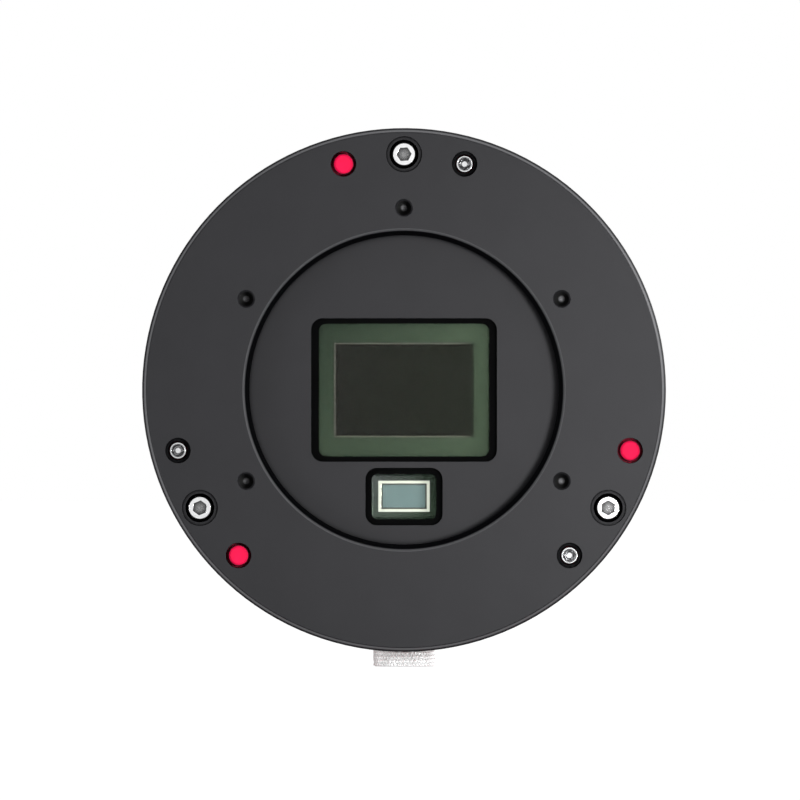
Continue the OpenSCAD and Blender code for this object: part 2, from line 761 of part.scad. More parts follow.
module rear_cover() color(black_anodised) {
    difference() {
        turned([[0, rear_y], [body_r, rear_y], [body_r, camera_l - rim_chamfer],
                [body_r - rim_chamfer, camera_l], [0, camera_l]]);
        translate([0, 0, fan_z]) {
            rod(grille_r, rear_y - 1, camera_l + 1);
            places(fan_corners) {
                rod(m3_r + 0.1, rear_y - 1, camera_l + 1);
                rod(2.9, camera_l - 1.9, camera_l + 1);
            }
        }
        for (a = six_offset_angles) polar(rear_screw_r, a) {
            rod(1.35, rear_y - 1, camera_l + 1);
            rod(2.6, camera_l - 1.8, camera_l + 1);
        }
        translate([jack_x, 0, pcb_z - 5.6]) rod(4.6, rear_y - 1, camera_l + 1);
        slab(rear_y - 1, camera_l + 1) translate([usb3_x, pcb_z - usb3_size[1] / 2])
            rounded_rect([usb3_size[0] + 0.4, usb3_size[1] + 0.4], 1);
        for (x = hub_x) slab(rear_y - 1, camera_l + 1) translate([x, pcb_z - hub_size[1] / 2])
            rounded_rect([hub_size[0] + 0.4, hub_size[1] + 0.4], 0.7);
    }
    translate([0, 0, fan_z]) slab(camera_l - 2, camera_l) grille();
}

module rear_cover_screws() color(steel) for (a = six_offset_angles) polar(rear_screw_r, a)
    to_front(camera_l - 1.8) screw(2.4, 1.6, 1.2, 12, 2, 1);

// ---- Assembly ----

tilt_plate();
red_plugs();
light_seal_ring();
pull_screw_top();
pull_screw_left();
pull_screw_right();
push_screw_top();
push_screw_left();
push_screw_right();
front_housing();
chamber_cover();
chamber_cover_screws();
chamber_oring();
window_gasket();
main_window();
guide_window();
window_heater();
window_retainer();
retainer_screws();
main_sensor_package();
main_sensor_die();
main_sensor_glass();
guide_sensor_package();
guide_bond_frame();
guide_sensor_die();
guide_sensor_glass();
sensor_board();
sensor_standoffs();
sensor_board_screws();
sensor_cable();
cold_finger();
insulation_ring();
peltier_plates();
peltier_pellets();
power_wires();
cable_seal();
heat_sink_gasket();
heat_sink();
heat_sink_screws();
desiccant_cap();
desiccant_oring();
desiccant_tube();
desiccant_tablets();
rear_housing();
housing_screws();
fan_frame();
fan_rotor();
fan_magnet();
fan_shaft();
fan_bearings();
fan_stator();
fan_screws();
main_board();
board_chips();
dc_jack();
usb3_port();
hub_ports();
port_inserts();
rear_cover();
rear_cover_screws();
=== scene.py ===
"""Looks of the cooled astronomy camera: finishes for every part, machined detail, studio light and camera.

Lengths are metres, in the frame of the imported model: -Y is the front, +Z is up, and the optical axis is
the Y axis.
"""

import json
import math

import bmesh
import bpy
from mathutils import Matrix, Vector

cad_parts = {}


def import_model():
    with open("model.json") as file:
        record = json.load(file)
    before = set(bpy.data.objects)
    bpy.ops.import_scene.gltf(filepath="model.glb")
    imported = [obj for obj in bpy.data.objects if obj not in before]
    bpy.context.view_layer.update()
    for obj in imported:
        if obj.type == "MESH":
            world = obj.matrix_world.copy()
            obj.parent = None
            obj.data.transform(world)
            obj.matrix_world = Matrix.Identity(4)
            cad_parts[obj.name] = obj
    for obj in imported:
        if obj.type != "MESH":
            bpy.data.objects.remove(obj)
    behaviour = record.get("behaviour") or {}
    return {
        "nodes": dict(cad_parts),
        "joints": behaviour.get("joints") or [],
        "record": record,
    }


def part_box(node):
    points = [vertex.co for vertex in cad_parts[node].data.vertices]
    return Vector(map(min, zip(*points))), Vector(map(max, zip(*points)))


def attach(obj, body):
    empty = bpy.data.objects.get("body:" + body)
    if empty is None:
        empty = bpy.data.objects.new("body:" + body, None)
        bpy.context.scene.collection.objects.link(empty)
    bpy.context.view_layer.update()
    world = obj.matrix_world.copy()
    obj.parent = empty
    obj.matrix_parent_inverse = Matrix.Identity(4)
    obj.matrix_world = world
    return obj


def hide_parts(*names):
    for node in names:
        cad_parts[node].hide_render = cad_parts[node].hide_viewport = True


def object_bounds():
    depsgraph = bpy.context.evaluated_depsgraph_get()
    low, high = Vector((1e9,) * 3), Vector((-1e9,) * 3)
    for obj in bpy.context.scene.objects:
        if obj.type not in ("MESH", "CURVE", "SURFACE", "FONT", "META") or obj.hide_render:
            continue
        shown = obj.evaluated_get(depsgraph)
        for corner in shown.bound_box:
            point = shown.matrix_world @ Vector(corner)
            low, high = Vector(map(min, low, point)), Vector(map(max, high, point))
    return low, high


MM = 0.001
FULL_TURN = 2 * math.pi

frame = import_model()
cad_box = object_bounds()
MOUNTS = {mount["name"]: mount for mount in frame["record"]["mounts"]}
JOINTS = {joint["name"]: joint for joint in frame["joints"]}


def centre(node):
    low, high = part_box(node)
    return (low + high) / 2


plate_low, plate_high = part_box("tilt_plate")
PLATE_FRONT = plate_low.y
PLATE_R = plate_high.x
BORE_R = MOUNTS["front_thread"]["dims"]["r_mm"] * MM
ACCESSORY_R = MOUNTS["accessory_hole_top"]["dims"]["r_mm"] * MM
BORE_PITCH = 0.75 * MM
ACCESSORY_PITCH = 0.5 * MM
# Where the walls of the accessory holes end, and the cones that the drill left end
DRILLED_DEPTH = 3.5 * MM
DRILL_TIP_DEPTH = 4.02 * MM


# ---- Shader nodes ----

class Shader:
    """Short calls that build one material. A value may be a number, a colour or another node's output."""

    def __init__(self, name):
        self.material = bpy.data.materials.new(name)
        self.material.use_nodes = True
        self.tree = self.material.node_tree
        self.tree.nodes.clear()
        self.place = self.node("TexCoord").outputs["Object"]
        self.x, self.y, self.z = self.node("SeparateXYZ", {"Vector": self.place}).outputs
        self.rounds = {}

    def node(self, kind, inputs=None, **settings):
        made = self.tree.nodes.new("ShaderNode" + kind)
        for key, value in settings.items():
            setattr(made, key, value)
        for key, value in (inputs or {}).items():
            self.feed(made.inputs[key], value)
        return made

    def feed(self, socket, value):
        if isinstance(value, bpy.types.NodeSocket):
            self.tree.links.new(value, socket)
        elif socket.type == "RGBA":
            socket.default_value = (*value[:3], 1)
        else:
            socket.default_value = value

    def math(self, operation, *values, clamp=False):
        made = self.node("Math", operation=operation, use_clamp=clamp)
        for socket, value in zip(made.inputs, values):
            self.feed(socket, value)
        return made.outputs[0]

    def remap(self, value, low, high, to_low=0.0, to_high=1.0):
        return self.node("MapRange", {"Value": value, "From Min": low, "From Max": high,
                                      "To Min": to_low, "To Max": to_high}).outputs[0]

    def mix(self, share, a, b):
        made = self.node("Mix", data_type="RGBA")
        self.feed(made.inputs[0], share)
        self.feed(made.inputs[6], a)
        self.feed(made.inputs[7], b)
        return made.outputs[2]

    def noise(self, size, detail=2.0, stretch=(1, 1, 1), place=None):
        """Noise whose grains are about size across, drawn out along the axes where stretch is above 1."""
        scale = [1 / (size * s) for s in stretch]
        where = self.node("Mapping", {"Vector": place or self.place, "Scale": scale}).outputs[0]
        return self.node("TexNoise", {"Vector": where, "Scale": 1.0, "Detail": detail}).outputs["Fac"]

    def point(self, x, y, z):
        return self.node("CombineXYZ", {"X": x, "Y": y, "Z": z}).outputs[0]

    def radius(self, centre_x=0.0, centre_z=0.0):
        x = self.math("SUBTRACT", self.x, centre_x)
        z = self.math("SUBTRACT", self.z, centre_z)
        return self.math("SQRT", self.math("ADD", self.math("MULTIPLY", x, x), self.math("MULTIPLY", z, z)))

    def band(self, value, middle, core, reach):
        """1 within core of the middle value, 0 beyond reach of it."""
        away = self.math("ABSOLUTE", self.math("SUBTRACT", value, middle))
        return self.remap(away, reach, core)

    def facing_axis(self):
        """1 on faces square to the optical axis, 0 on walls along it."""
        normal = self.node("NewGeometry").outputs["Normal"]
        local = self.node("VectorTransform", {"Vector": normal}, vector_type="NORMAL",
                          convert_from="WORLD", convert_to="OBJECT").outputs[0]
        return self.math("ABSOLUTE", self.node("SeparateXYZ", {"Vector": local}).outputs[1])

    def rounded(self, radius):
        """The normal, as if every edge were rounded to this radius."""
        if radius not in self.rounds:
            self.rounds[radius] = self.node("Bevel", {"Radius": radius}, samples=4).outputs[0]
        return self.rounds[radius]

    def hollows(self, distance):
        """0 deep in sockets, slots and corners, 1 on open faces."""
        return self.node("AmbientOcclusion", {"Distance": distance}, samples=6).outputs["AO"]

    def wear_and_highlight_edges(self, radius):
        """1 along edges, broken up by noise, 0 elsewhere. Edges lightened with it are part wear, part painted
        highlight.
        """
        flat = self.node("NewGeometry").outputs["Normal"]
        agreement = self.node("VectorMath", {0: self.rounded(radius), 1: flat}, operation="DOT_PRODUCT")
        edge = self.remap(agreement.outputs["Value"], 0.985, 0.80)
        return self.math("MULTIPLY", edge, self.remap(self.noise(0.5 * MM, 3), 0.35, 0.70), clamp=True)

    def bump(self, height, depth, normal=None):
        inputs = {"Height": height, "Distance": depth, "Strength": 1.0}
        if normal is not None:
            inputs["Normal"] = normal
        return self.node("Bump", inputs).outputs[0]

    def surface(self, colour, roughness, metallic=0.0, normal=None, **extra):
        inputs = {"Base Color": colour, "Roughness": roughness, "Metallic": metallic}
        if normal is not None:
            inputs["Normal"] = normal
        inputs.update({key.replace("_", " "): value for key, value in extra.items()})
        return self.finish(self.node("BsdfPrincipled", inputs).outputs[0])

    def finish(self, shader):
        self.tree.links.new(shader, self.node("OutputMaterial").inputs["Surface"])
        return self.material


def shade(colour, factor):
    return tuple(min(1.0, c * factor) for c in colour)


# ---- Finishes ----

def turned_height(s, groove):
    """Height of lathe marks: rings on faces square to the axis, lines around the walls."""
    rings = s.noise(groove, 3, place=s.point(s.radius(), 0.0, 0.0))
    lines = s.noise(groove, 3, place=s.point(s.y, 0.0, 0.0))
    return s.mix(s.facing_axis(), lines, rings)


def black_anodised(name, shaded_bore_r=0.0, rim_r=0.0):
    """Fine bead-blasted and turned black, with painted shade in crevices.

    With its two radii it is the finish of a ring: its bore is painted in shade up to the first, with a thin
    painted highlight around the mouth, and its rim bevel has a thin painted highlight line at the second,
    rim_r.
    """
    s = Shader(name)
    cloud = s.noise(9 * MM, 4)
    grain = s.noise(0.16 * MM, 2)
    base = s.mix(s.remap(cloud, 0.3, 0.7), (0.0032, 0.0032, 0.0042), (0.0052, 0.0052, 0.0064))
    base = s.mix(s.remap(grain, 0.35, 0.65, 0.0, 0.35), base, (0.008, 0.008, 0.0095))
    # Edges lighter: part wear, part painted highlight
    colour = s.mix(s.math("MULTIPLY", s.wear_and_highlight_edges(0.10 * MM), 0.45), base, (0.11, 0.11, 0.115))
    # Painted shade: an ambient-occlusion mask that darkens colour and shine in crevices
    open_face = s.remap(s.hollows(1.1 * MM), 0.45, 0.92)
    rim = 0.0
    if shaded_bore_r:
        out = s.radius()
        # Painted shade down the bore, inside the first radius
        open_face = s.math("MULTIPLY", open_face, s.remap(out, shaded_bore_r - 0.04 * MM, shaded_bore_r, 0.05, 1.0))
        # Painted highlight: a thin pale band around the mouth of the bore
        mouth = s.band(out, shaded_bore_r + 0.26 * MM, 0.14 * MM, 0.20 * MM)
        colour = s.mix(mouth, colour, (0.050, 0.050, 0.053))
        # Painted highlight: a thin pale line on the rim bevel, which also raises its shine
        rim = s.band(out, rim_r, 0.12 * MM, 0.20 * MM)
        colour = s.mix(rim, colour, (0.070, 0.070, 0.074))
    # Painted shade: near black in crevices and down the bore
    colour = s.mix(open_face, (0.0012, 0.0012, 0.0015), colour)
    shine = s.math("ADD", s.remap(open_face, 0, 1, 0.0, 0.26), s.math("MULTIPLY", rim, 0.4))
    roughness = s.remap(grain, 0.3, 0.7, 0.44, 0.54)
    lathe = s.bump(turned_height(s, 0.30 * MM), 0.003 * MM, s.rounded(0.10 * MM))
    normal = s.bump(grain, 0.003 * MM, lathe)
    return s.surface(colour, roughness, normal=normal, Specular_IOR_Level=shine,
                     Specular_Tint=(0.97, 0.97, 1.0))


def red_anodised(name):
    """Turned metal under a red dye, which also tints what it mirrors at a low angle."""
    s = Shader(name)
    grain = s.noise(0.20 * MM, 2)
    cloud = s.noise(14 * MM, 3)
    base = s.mix(s.remap(cloud, 0.3, 0.7), (0.46, 0.010, 0.020), (0.56, 0.014, 0.028))
    # Edges lighter: part wear, part painted highlight
    colour = s.mix(s.math("MULTIPLY", s.wear_and_highlight_edges(0.15 * MM), 0.6), base, (0.72, 0.30, 0.30))
    # Painted shade: dark in hollows, by ambient occlusion
    colour = s.mix(s.remap(s.hollows(1.5 * MM), 0.20, 0.75), (0.02, 0.0, 0.001), colour)
    roughness = s.remap(grain, 0.3, 0.7, 0.26, 0.38)
    lathe = s.bump(turned_height(s, 0.25 * MM), 0.006 * MM, s.rounded(0.15 * MM))
    normal = s.bump(grain, 0.004 * MM, lathe)
    return s.surface(colour, roughness, metallic=0.92, normal=normal, Specular_Tint=(0.80, 0.46, 0.47))


def metal(name, colour, roughness, grain_size=0.12 * MM, stretch=(1, 1, 1), depth=0.002 * MM):
    """Bare metal with fine marks and darker blotches, painted shade in its hollows, and brighter edges, part
    wear and part painted highlight.
    """
    s = Shader(name)
    edge = 0.06 * MM
    grain = s.noise(grain_size, 3, stretch)
    smudge = s.noise(2.5 * MM, 3)
    tone = s.mix(s.remap(smudge, 0.35, 0.75), colour, shade(colour, 0.82))
    # Edges brighter: part wear, part painted highlight
    tone = s.mix(s.wear_and_highlight_edges(edge), tone, shade(colour, 1.15))
    # Painted shade: near black deep in sockets and corners, by ambient occlusion
    deep = s.remap(s.hollows(1.6 * MM), 0.47, 0.90, 1.0, 0.0)
    tone = s.mix(deep, tone, shade(colour, 0.05))
    rough = s.math("ADD", s.remap(grain, 0.3, 0.7, roughness * 0.75, roughness * 1.25),
                   s.remap(smudge, 0.4, 0.8, 0.0, 0.08))
    normal = s.bump(grain, depth, s.rounded(edge))
    return s.surface(tone, rough, metallic=1.0, normal=normal)


def stainless(name):
    return metal(name, (0.98, 0.98, 0.99), 0.12)


def set_screw_steel(node):
    """Steel of one set screw: a bright rim and floor, with streaked painted shade on the socket wall between
    them.
    """
    s = Shader("look_" + node)
    middle = centre(node)
    out = s.radius(middle.x, middle.z)
    grain = s.noise(0.12 * MM, 3)
    floor_r, rim_r = 0.46 * MM, 1.02 * MM
    wall = s.math("MULTIPLY", s.remap(out, floor_r, floor_r * 1.25),
                  s.remap(out, rim_r, rim_r * 1.12, 1.0, 0.0))
    streak = s.noise(0.5 * MM, 2)
    # Painted shade on the socket wall, streaked
    dull = s.mix(s.remap(streak, 0.42, 0.58), (0.06, 0.06, 0.062), (0.42, 0.42, 0.43))
    colour = s.mix(wall, (0.80, 0.80, 0.81), dull)
    return s.surface(colour, 0.14, metallic=1.0, normal=s.bump(grain, 0.001 * MM, s.rounded(0.05 * MM)))


def knurled_metal(name):
    """Satin plating, pale even where it doesn't mirror a light, with painted shade down its grooves."""
    s = Shader(name)
    grain = s.noise(0.10 * MM, 3)
    # Painted shade: darker down in the knurl grooves, by ambient occlusion
    deep = s.remap(s.hollows(0.5 * MM), 0.60, 0.96)
    colour = s.mix(deep, (0.27, 0.28, 0.28), (0.90, 0.93, 0.93))
    return s.surface(colour, 0.40, metallic=0.35, normal=s.bump(grain, 0.002 * MM, s.rounded(0.03 * MM)))


def bare_aluminium(name):
    return metal(name, (0.78, 0.79, 0.80), 0.34, 0.10 * MM, (1, 12, 1), 0.003 * MM)


def copper(name):
    return metal(name, (0.80, 0.42, 0.26), 0.30, 0.12 * MM, (6, 1, 1), 0.003 * MM)


def brass_standoff(name):
    return metal(name, (0.80, 0.62, 0.28), 0.24)


def port_shell(name):
    return metal(name, (0.70, 0.69, 0.67), 0.28, 0.12 * MM, (1, 8, 1))


def magnet(name):
    return metal(name, (0.17, 0.16, 0.16), 0.55)


def gold(name):
    return metal(name, (0.90, 0.66, 0.25), 0.22)


def drill_point(name):
    """Matt bare metal where the drill stopped, painted near black as shade, with a painted highlight towards
    the tip.
    """
    s = Shader(name)
    tip_y = PLATE_FRONT + DRILL_TIP_DEPTH
    # Painted highlight towards the drill tip; the rest of the cone is painted in shade
    tip = s.remap(s.y, tip_y - 0.16 * MM, tip_y)
    grain = s.noise(0.12 * MM, 2)
    bright = s.mix(s.remap(grain, 0.35, 0.65), (0.10, 0.10, 0.105), (0.30, 0.30, 0.31))
    return s.surface(s.mix(tip, (0.004, 0.004, 0.004), bright), 0.55, metallic=0.25)


def soft_plug(name):
    """Saturated soft rubber with a painted sheen where it turns away, and painted shade down the gap around
    it.
    """
    s = Shader(name)
    fuzz = s.noise(0.10 * MM, 3)
    cloud = s.noise(1.2 * MM, 2)
    base = s.mix(s.remap(cloud, 0.3, 0.7), (0.66, 0.0025, 0.050), (0.71, 0.0045, 0.062))
    # Painted sheen: paler where the surface turns away from the view
    pale = s.node("LayerWeight", {"Blend": 0.35}).outputs["Facing"]
    colour = s.mix(s.remap(pale, 0.3, 0.95, 0.0, 0.6), base, (1.0, 0.22, 0.32))
    # Painted shade: dark down the gap around the plug
    deep = s.remap(s.hollows(0.7 * MM), 0.35, 0.8, 1.0, 0.0)
    colour = s.mix(deep, colour, (0.03, 0.0, 0.004))
    return s.surface(colour, 0.6, normal=s.bump(fuzz, 0.010 * MM), Specular_IOR_Level=0.10, Sheen_Weight=0.04,
                     Sheen_Tint=(1.0, 0.5, 0.6))


def moulded(name, colour, roughness, grain_size=0.22 * MM, depth=0.010 * MM, edge=0.12 * MM, gloss=0.5):
    """Moulded plastic or rubber: a fine eroded texture with slight tone changes."""
    s = Shader(name)
    grain = s.noise(grain_size, 3)
    cloud = s.noise(6 * MM, 3)
    tone = s.mix(s.remap(cloud, 0.3, 0.7), shade(colour, 0.82), shade(colour, 1.18))
    # Edges lighter: part wear, part painted highlight
    tone = s.mix(s.math("MULTIPLY", s.wear_and_highlight_edges(edge), 0.3), tone, shade(colour, 2.2))
    rough = s.remap(grain, 0.3, 0.7, roughness - 0.07, roughness + 0.07)
    return s.surface(tone, rough, normal=s.bump(grain, depth, s.rounded(edge)), Specular_IOR_Level=gloss)


def black_rubber(name):
    return moulded(name, (0.0015, 0.0016, 0.0017), 0.85, edge=0.08 * MM, gloss=0.03)


def retainer_plastic(name):
    return moulded(name, (0.014, 0.014, 0.014), 0.60)


def fan_plastic(name):
    return moulded(name, (0.016, 0.016, 0.017), 0.45)


def chip_plastic(name):
    return moulded(name, (0.020, 0.020, 0.021), 0.62, 0.12 * MM)


def jack_plastic(name):
    return moulded(name, (0.018, 0.018, 0.018), 0.40)


def port_insert(name):
    return moulded(name, (0.015, 0.10, 0.50), 0.38)


def wire_red(name):
    return moulded(name, (0.50, 0.012, 0.012), 0.42)


def cooler_ceramic(name):
    return moulded(name, (0.80, 0.80, 0.76), 0.50, 0.08 * MM, 0.003 * MM)


def cooler_pellets(name):
    return metal(name, (0.36, 0.36, 0.40), 0.42)


def desiccant(name):
    """Tablets pressed from orange beads."""
    s = Shader(name)
    beads = s.node("TexVoronoi", {"Vector": s.place, "Scale": 1 / (0.55 * MM)}).outputs["Distance"]
    colour = s.mix(s.remap(beads, 0.0, 0.6), (0.90, 0.42, 0.10), (0.62, 0.22, 0.04))
    return s.surface(colour, 0.45, normal=s.bump(s.math("SUBTRACT", 1.0, beads), 0.15 * MM))


def foam(name):
    """Dark open-celled foam."""
    s = Shader(name)
    cells = s.node("TexVoronoi", {"Vector": s.place, "Scale": 1 / (0.4 * MM)}).outputs["Distance"]
    colour = s.mix(s.remap(cells, 0.1, 0.6), (0.012, 0.012, 0.013), (0.045, 0.045, 0.047))
    return s.surface(colour, 0.9, normal=s.bump(cells, 0.12 * MM))


def winding(name):
    """Enamelled wire wound around the poles."""
    s = Shader(name)
    turn = s.math("SINE", s.math("MULTIPLY", s.y, FULL_TURN / (0.35 * MM)))
    colour = s.mix(s.remap(turn, -1, 1), (0.30, 0.09, 0.03), (0.78, 0.32, 0.14))
    return s.surface(colour, 0.28, metallic=0.8, normal=s.bump(turn, 0.08 * MM))


def flat_cable(name):
    """Amber film with copper tracks along its length."""
    s = Shader(name)
    track = s.remap(s.math("SINE", s.math("MULTIPLY", s.x, FULL_TURN / (1.0 * MM))), -0.1, 0.1)
    colour = s.mix(track, (0.40, 0.14, 0.02), (0.62, 0.27, 0.08))
    return s.surface(colour, 0.32, metallic=s.remap(track, 0, 1, 0.0, 0.5), normal=s.bump(track, 0.02 * MM),
                     Coat_Weight=0.4)


def board_laminate(name):
    """Green solder mask over a maze of square copper tracks."""
    s = Shader(name)
    flat_place = s.mix(s.facing_axis(), s.point(s.x, s.y, 0.0), s.point(s.x, s.z, 0.0))
    cell = s.node("TexVoronoi", {"Vector": flat_place, "Scale": 1 / (3.2 * MM)}, distance="MANHATTAN",
                  feature="F1", voronoi_dimensions="2D").outputs["Distance"]
    tracks_to_a_cell = 34.0
    track = s.remap(s.math("SINE", s.math("MULTIPLY", cell, tracks_to_a_cell)), 0.15, 0.35)
    weave = s.noise(0.5 * MM, 2)
    mask = s.mix(track, (0.004, 0.045, 0.018), (0.010, 0.105, 0.040))
    mask = s.mix(s.remap(weave, 0.3, 0.7, 0.0, 0.3), mask, (0.006, 0.07, 0.03))
    return s.surface(mask, 0.32, normal=s.bump(track, 0.03 * MM), Coat_Weight=0.3, Coat_Roughness=0.15)


def heater_film(name):
    """Amber film over slanted heater tracks."""
    s = Shader(name)
    wave = s.math("SINE", s.math("MULTIPLY", s.math("ADD", s.x, s.z), FULL_TURN / (0.9 * MM)))
    colour = s.mix(s.remap(wave, -0.2, 0.2), (0.42, 0.17, 0.04), (0.78, 0.40, 0.22))
    return s.surface(colour, 0.35, metallic=0.5, normal=s.bump(wave, 0.01 * MM))


def coated_glass(name):
    """Thin coated glass: clear, with a faint green sheen where it mirrors the room."""
    s = Shader(name)
    fresnel = s.node("Fresnel", {"IOR": 1.45}).outputs[0]
    share = s.remap(fresnel, 0.034, 1.0, 0.0020, 0.75)
    through = s.node("BsdfTransparent", {"Color": (0.985, 0.99, 0.98)}).outputs[0]
    mirror = s.node("BsdfGlossy", {"Color": (0.75, 1.0, 0.88), "Roughness": 0.03}).outputs[0]
    mixed = s.node("MixShader", {0: share, 1: through, 2: mirror}).outputs[0]
    return s.finish(mixed)


def across(s, node):
    """How far a point lies across a node, from 0 at its left edge to 1 at its right edge."""
    low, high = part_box(node)
    return s.remap(s.x, low.x, high.x)


def upward(s, node):
    """How far a point lies up a node, from 0 at its lower edge to 1 at its upper edge."""
    low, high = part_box(node)
    return s.remap(s.z, low.z, high.z)


def laminate(node, left, right, low_gain, roughness):
    """Glazed green laminate of a sensor package.

    Its tone is painted light: it goes from left to right, and towards the foot it nears the right tone times
    low_gain.
    """
    s = Shader("look_" + node)
    weave = s.noise(0.30 * MM, 3)
    cloud = s.noise(4 * MM, 3)
    # Painted light: the tone changes from left to right and towards the foot, as the lighting shades it
    base = s.mix(s.remap(across(s, node), 0.05, 0.90), left, right)
    base = s.mix(s.remap(upward(s, node), 0.95, 0.02, 0.0, 0.6), base, shade(right, low_gain))
    base = s.mix(s.remap(cloud, 0.3, 0.7, 0.0, 0.15), base, shade(left, 0.9))
    colour = s.mix(s.remap(weave, 0.35, 0.65, 0.0, 0.08), base, shade(right, 1.5))
    edge = 0.12 * MM
    # Edges lighter: part wear, part painted highlight
    colour = s.mix(s.math("MULTIPLY", s.wear_and_highlight_edges(edge), 0.4), colour, (0.20, 0.22, 0.20))
    return s.surface(colour, roughness, metallic=0.9, normal=s.bump(weave, 0.001 * MM, s.rounded(edge)),
                     Specular_IOR_Level=0.3)


def main_package(node):
    return laminate(node, (0.030, 0.042, 0.031), (0.0935, 0.130, 0.0875), 1.0, 0.12)


def guide_package(node):
    return laminate(node, (0.100, 0.106, 0.112), (0.026, 0.040, 0.027), 2.6, 0.20)


def border(s, node, inset):
    """Distance outside (above 0) a rectangle set in from the edges of a node, seen along the axis."""
    low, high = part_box(node)
    middle, half = (low + high) / 2, (high - low) / 2
    beside = s.math("SUBTRACT", s.math("ABSOLUTE", s.math("SUBTRACT", s.x, middle.x)), half.x - inset)
    above = s.math("SUBTRACT", s.math("ABSOLUTE", s.math("SUBTRACT", s.z, middle.z)), half.z - inset)
    return s.math("MAXIMUM", beside, above)


def main_silicon(name):
    """Dark silicon that shifts in hue at an angle. A fine pale line, a painted highlight, frames it and fades
    to the right.
    """
    s = Shader(name)
    outside = border(s, "main_sensor_die", 0.34 * MM)
    side = across(s, "main_sensor_die")
    line_half = 0.13 * MM
    # Painted highlight: a thin pale line along the die's edge, fading out on the right
    line = s.band(outside, line_half, line_half * 0.5, line_half)
    line = s.math("MULTIPLY", line, s.remap(side, 0.99, 0.93))
    area = s.mix(side, (0.0268, 0.0245, 0.0228), (0.0250, 0.0255, 0.0200))
    area = s.mix(s.remap(s.noise(6 * MM, 2), 0.3, 0.7, 0.0, 0.4), area, (0.028, 0.026, 0.026))
    tilt = s.node("LayerWeight", {"Blend": 0.25}).outputs["Facing"]
    area = s.mix(s.remap(tilt, 0.15, 0.9), area, (0.05, 0.012, 0.06))
    colour = s.mix(s.remap(outside, 0.0, 0.05 * MM), area, (0.040, 0.052, 0.038))
    # The painted highlight line is brighter towards the foot
    low_line = s.remap(upward(s, "main_sensor_die"), 0.1, 0.0)
    pale = s.mix(low_line, (0.195, 0.183, 0.168), (0.230, 0.226, 0.194))
    colour = s.mix(line, colour, pale)
    return s.surface(colour, 0.11, metallic=1.0)


def guide_silicon(name):
    """Blue-grey silicon with a dull seal around it."""
    s = Shader(name)
    outside = border(s, "guide_sensor_die", 0.22 * MM)
    hue = s.noise(3 * MM, 2)
    area = s.mix(s.remap(hue, 0.3, 0.7), (0.190, 0.268, 0.282), (0.222, 0.300, 0.318))
    tilt = s.node("LayerWeight", {"Blend": 0.25}).outputs["Facing"]
    area = s.mix(s.remap(tilt, 0.15, 0.9), area, (0.25, 0.12, 0.35))
    colour = s.mix(s.remap(outside, -0.02 * MM, 0.04 * MM), area, (0.12, 0.13, 0.125))
    return s.surface(colour, 0.18, metallic=1.0)


def bond_frame(name):
    """Bright ivory plating with a faint grain."""
    s = Shader(name)
    grain = s.noise(0.10 * MM, 3)
    colour = s.mix(s.remap(grain, 0.3, 0.7), (0.97, 0.99, 0.90), (1.0, 1.0, 0.95))
    return s.surface(colour, 0.17, metallic=1.0, normal=s.bump(grain, 0.001 * MM, s.rounded(0.04 * MM)))


FINISHES = {
    "black_anodised": black_anodised, "red_anodised": red_anodised, "red_rubber": soft_plug,
    "stainless": stainless, "knurled_metal": knurled_metal, "black_rubber": black_rubber,
    "optical_glass": coated_glass, "heater_film": heater_film, "retainer_plastic": retainer_plastic,
    "main_silicon": main_silicon, "guide_silicon": guide_silicon, "bond_frame": bond_frame,
    "board_laminate": board_laminate, "brass_standoff": brass_standoff, "flat_cable": flat_cable,
    "copper": copper, "foam": foam, "cooler_ceramic": cooler_ceramic, "cooler_pellets": cooler_pellets,
    "wire_red": wire_red, "bare_aluminium": bare_aluminium, "desiccant": desiccant,
    "fan_plastic": fan_plastic, "magnet": magnet, "winding": winding, "chip_plastic": chip_plastic,
    "jack_plastic": jack_plastic, "port_shell": port_shell, "port_insert": port_insert,
}
looks = {slot: build("look_" + slot) for slot, build in FINISHES.items()}
looks["gold"] = gold("look_gold")
looks["drill_point"] = drill_point("look_drill_point")
# Plate finish with painted shade down its bore and painted highlights at its mouth and rim
looks["threaded_black"] = black_anodised("look_threaded_black", BORE_R + 0.72 * MM, PLATE_R - 0.5 * MM)

# Nodes whose finish depends on where their own middle or edges are
NODE_FINISHES = {
    "main_sensor_package": main_package, "guide_sensor_package": guide_package,
    "push_screw_top": set_screw_steel, "push_screw_left": set_screw_steel,
    "push_screw_right": set_screw_steel,
}


def paint_cad_nodes():
    for name, node in frame["nodes"].items():
        own = NODE_FINISHES[name](name) if name in NODE_FINISHES else None
        for material_slot in node.material_slots:
            material_slot.material = own or looks[material_slot.material.name]


# ---- Mesh helpers ----

def add_piece(name, mesh, body, slot, stands_for=()):
    """Links a mesh that is already in place, with its finish, its body and the CAD nodes it stands for."""
    piece = bpy.data.objects.new(name, mesh)
    bpy.context.scene.collection.objects.link(piece)
    mesh.materials.clear()
    mesh.materials.append(looks[slot])
    if stands_for:
        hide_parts(*stands_for)
    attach(piece, body)


def to_mesh(name, bm):
    bmesh.ops.remove_doubles(bm, verts=bm.verts, dist=1e-7)
    bmesh.ops.recalc_face_normals(bm, faces=bm.faces)
    mesh = bpy.data.meshes.new(name)
    bm.to_mesh(mesh)
    bm.free()
    return mesh


def crisp(mesh, angle_deg):
    """Shades a mesh smooth, but keeps edges sharper than the angle crisp."""
    mesh.shade_smooth()
    mesh.set_sharp_from_angle(angle=math.radians(angle_deg))


def welded_copy(node, name):
    """A closed copy of a CAD node's mesh, free to be cut."""
    bm = bmesh.new()
    bm.from_mesh(frame["nodes"][node].data)
    mesh = to_mesh(name, bm)
    for attribute in [a for a in mesh.attributes if a.name in ("custom_normal", "sharp_edge", "sharp_face")]:
        mesh.attributes.remove(attribute)
    return mesh


